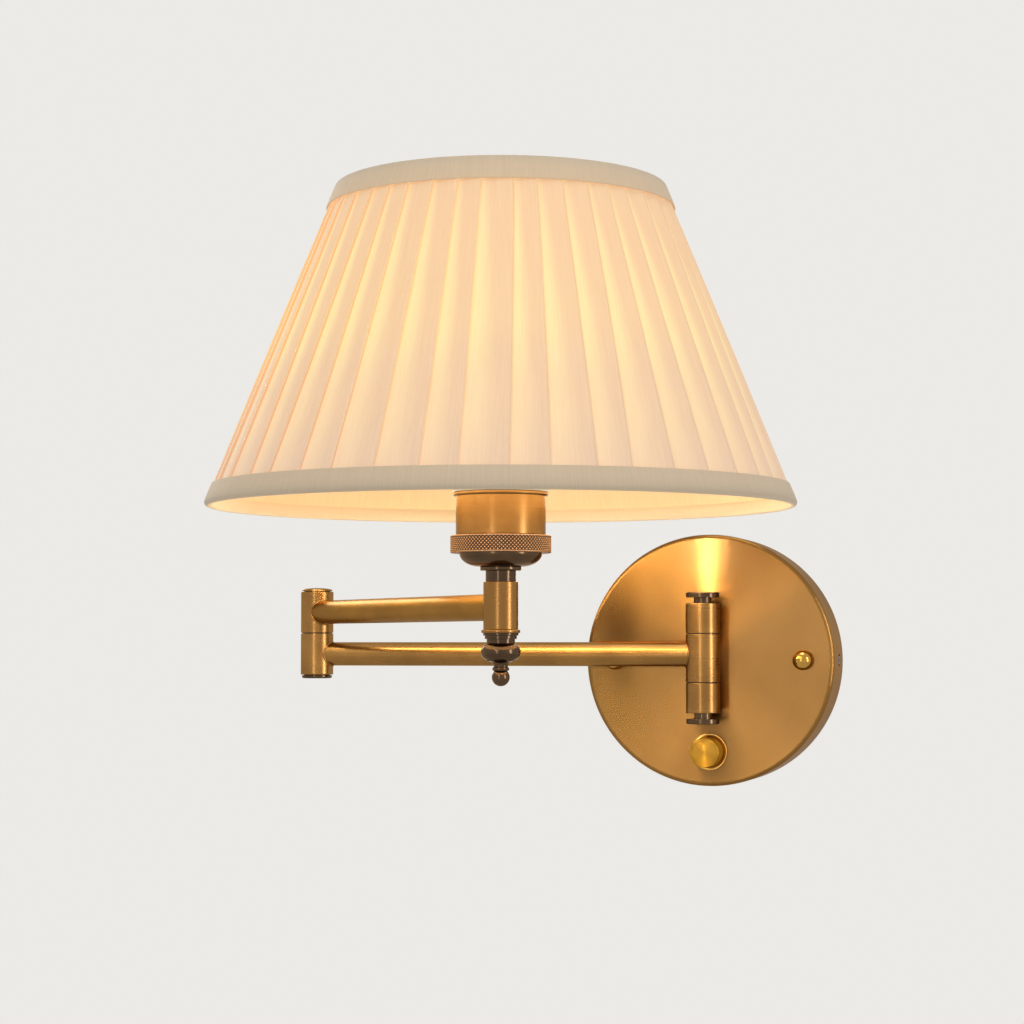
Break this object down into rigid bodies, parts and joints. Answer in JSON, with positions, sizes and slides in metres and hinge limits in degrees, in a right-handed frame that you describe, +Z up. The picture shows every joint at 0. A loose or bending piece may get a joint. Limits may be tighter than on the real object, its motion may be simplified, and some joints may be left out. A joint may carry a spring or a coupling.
{
  "type": "swing arm wall lamp",
  "caption": "Wall lamp whose tapered pleated shade hangs over two hinged brass arms on a round wall plate with a rotary dimmer.",
  "frame": {"origin": "centre of the wall plate's rear rim, on the wall plane, midway between the two slots for the wall screws", "axes": "+Y into the wall, so the lamp reaches out towards -Y; +Z up; +X to the right as seen by someone who faces the wall"},
  "size_m": [0.2685, 0.3058, 0.2624],
  "materials": {
    "satin_brass": "antique brass, brushed and lacquered",
    "dark_bronze": "brass with a dark bronze patina",
    "knurled_brass": "reddish antique brass with a diamond knurl",
    "polished_brass": "turned and polished brass",
    "zinc_steel": "steel with bright zinc plating",
    "white_enamel": "wire and sheet with white enamel",
    "black_plastic": "moulded black plastic",
    "white_plastic": "moulded white plastic",
    "ivory_plastic": "moulded heat-resistant plastic, ivory",
    "flex_sleeve": "dark insulated flex",
    "shade_lining": "translucent white lampshade laminate",
    "pleated_cloth": "fine cream cotton in knife pleats",
    "band_cloth": "cream cotton binding",
    "bulb_cap_metal": "nickel-plated screw cap",
    "bulb_glass": "clear glass",
    "filament_coating": "phosphor coating, lit warm white"
  },
  "bodies": {
    "wall_mount": {"mounting_strap": "zinc_steel", "mounting_studs": "zinc_steel", "stud_lock_nuts": "zinc_steel", "earth_screw": "polished_brass", "terminal_block": "white_plastic", "terminal_screws": "zinc_steel", "back_plate": "satin_brass", "ball_nuts": "polished_brass", "side_set_screw": "zinc_steel", "pivot_upper_bracket": "satin_brass", "pivot_lower_bracket": "satin_brass", "bracket_nuts": "zinc_steel", "pivot_axle": "dark_bronze", "pivot_top_head": "dark_bronze", "pivot_bottom_head": "dark_bronze", "pivot_washers": "dark_bronze", "dimmer_body": "black_plastic", "dimmer_nut": "polished_brass"},
    "lower_arm": {"pivot_middle_knuckle": "satin_brass", "lower_arm_tube": "satin_brass", "lower_arm_flex": "flex_sleeve", "elbow_lower_knuckle": "satin_brass", "elbow_bottom_cap": "satin_brass", "elbow_nipple": "zinc_steel", "elbow_lock_nuts": "zinc_steel", "elbow_washer": "dark_bronze"},
    "upper_arm": {"elbow_upper_knuckle": "satin_brass", "elbow_top_cap": "satin_brass", "upper_arm_tube": "satin_brass", "upper_arm_flex": "flex_sleeve", "post_knuckle": "satin_brass"},
    "lamp_head": {"post_nipple": "zinc_steel", "post_flange": "dark_bronze", "stepped_collar": "dark_bronze", "knob_nut": "dark_bronze", "finial": "dark_bronze", "post_neck": "dark_bronze", "post_washer": "dark_bronze", "bowl": "dark_bronze", "nipple_nut": "zinc_steel", "knurled_collar": "knurled_brass", "socket_cup": "satin_brass", "lampholder": "ivory_plastic", "screw_shell": "polished_brass", "centre_contact": "polished_brass", "shade_clamp_ring": "ivory_plastic", "fitter_ring": "white_enamel", "fitter_arms": "white_enamel", "bottom_ring": "white_enamel", "top_ring": "white_enamel", "lining": "shade_lining", "pleated_fabric": "pleated_cloth", "bottom_band": "band_cloth", "top_band": "band_cloth", "bulb_cap": "bulb_cap_metal", "bulb_glass": "bulb_glass", "bulb_stem": "bulb_glass", "bulb_filaments": "filament_coating"},
    "dimmer_knob": {"dimmer_knob": "polished_brass", "dimmer_spindle": "zinc_steel"}
  },
  "joints": [
    {"name": "wall_swing", "type": "hinge", "parent": "wall_mount", "child": "lower_arm", "pos_m": [0, -0.042, 0.001], "axis": [0, 0, 1], "range_deg": [0, 180]},
    {"name": "elbow_swing", "type": "hinge", "parent": "lower_arm", "child": "upper_arm", "pos_m": [-0.194, -0.042, 0.013], "axis": [0, 0, 1], "range_deg": [-258, 21]},
    {"name": "head_swivel", "type": "hinge", "parent": "upper_arm", "child": "lamp_head", "pos_m": [-0.05851, -0.18084, 0.0232], "axis": [0, 0, 1], "range_deg": [-90, 90]},
    {"name": "dimmer_turn", "type": "hinge", "parent": "wall_mount", "child": "dimmer_knob", "pos_m": [0, -0.034, -0.0436], "axis": [0, -1, 0], "range_deg": [0, 300]}
  ]
}
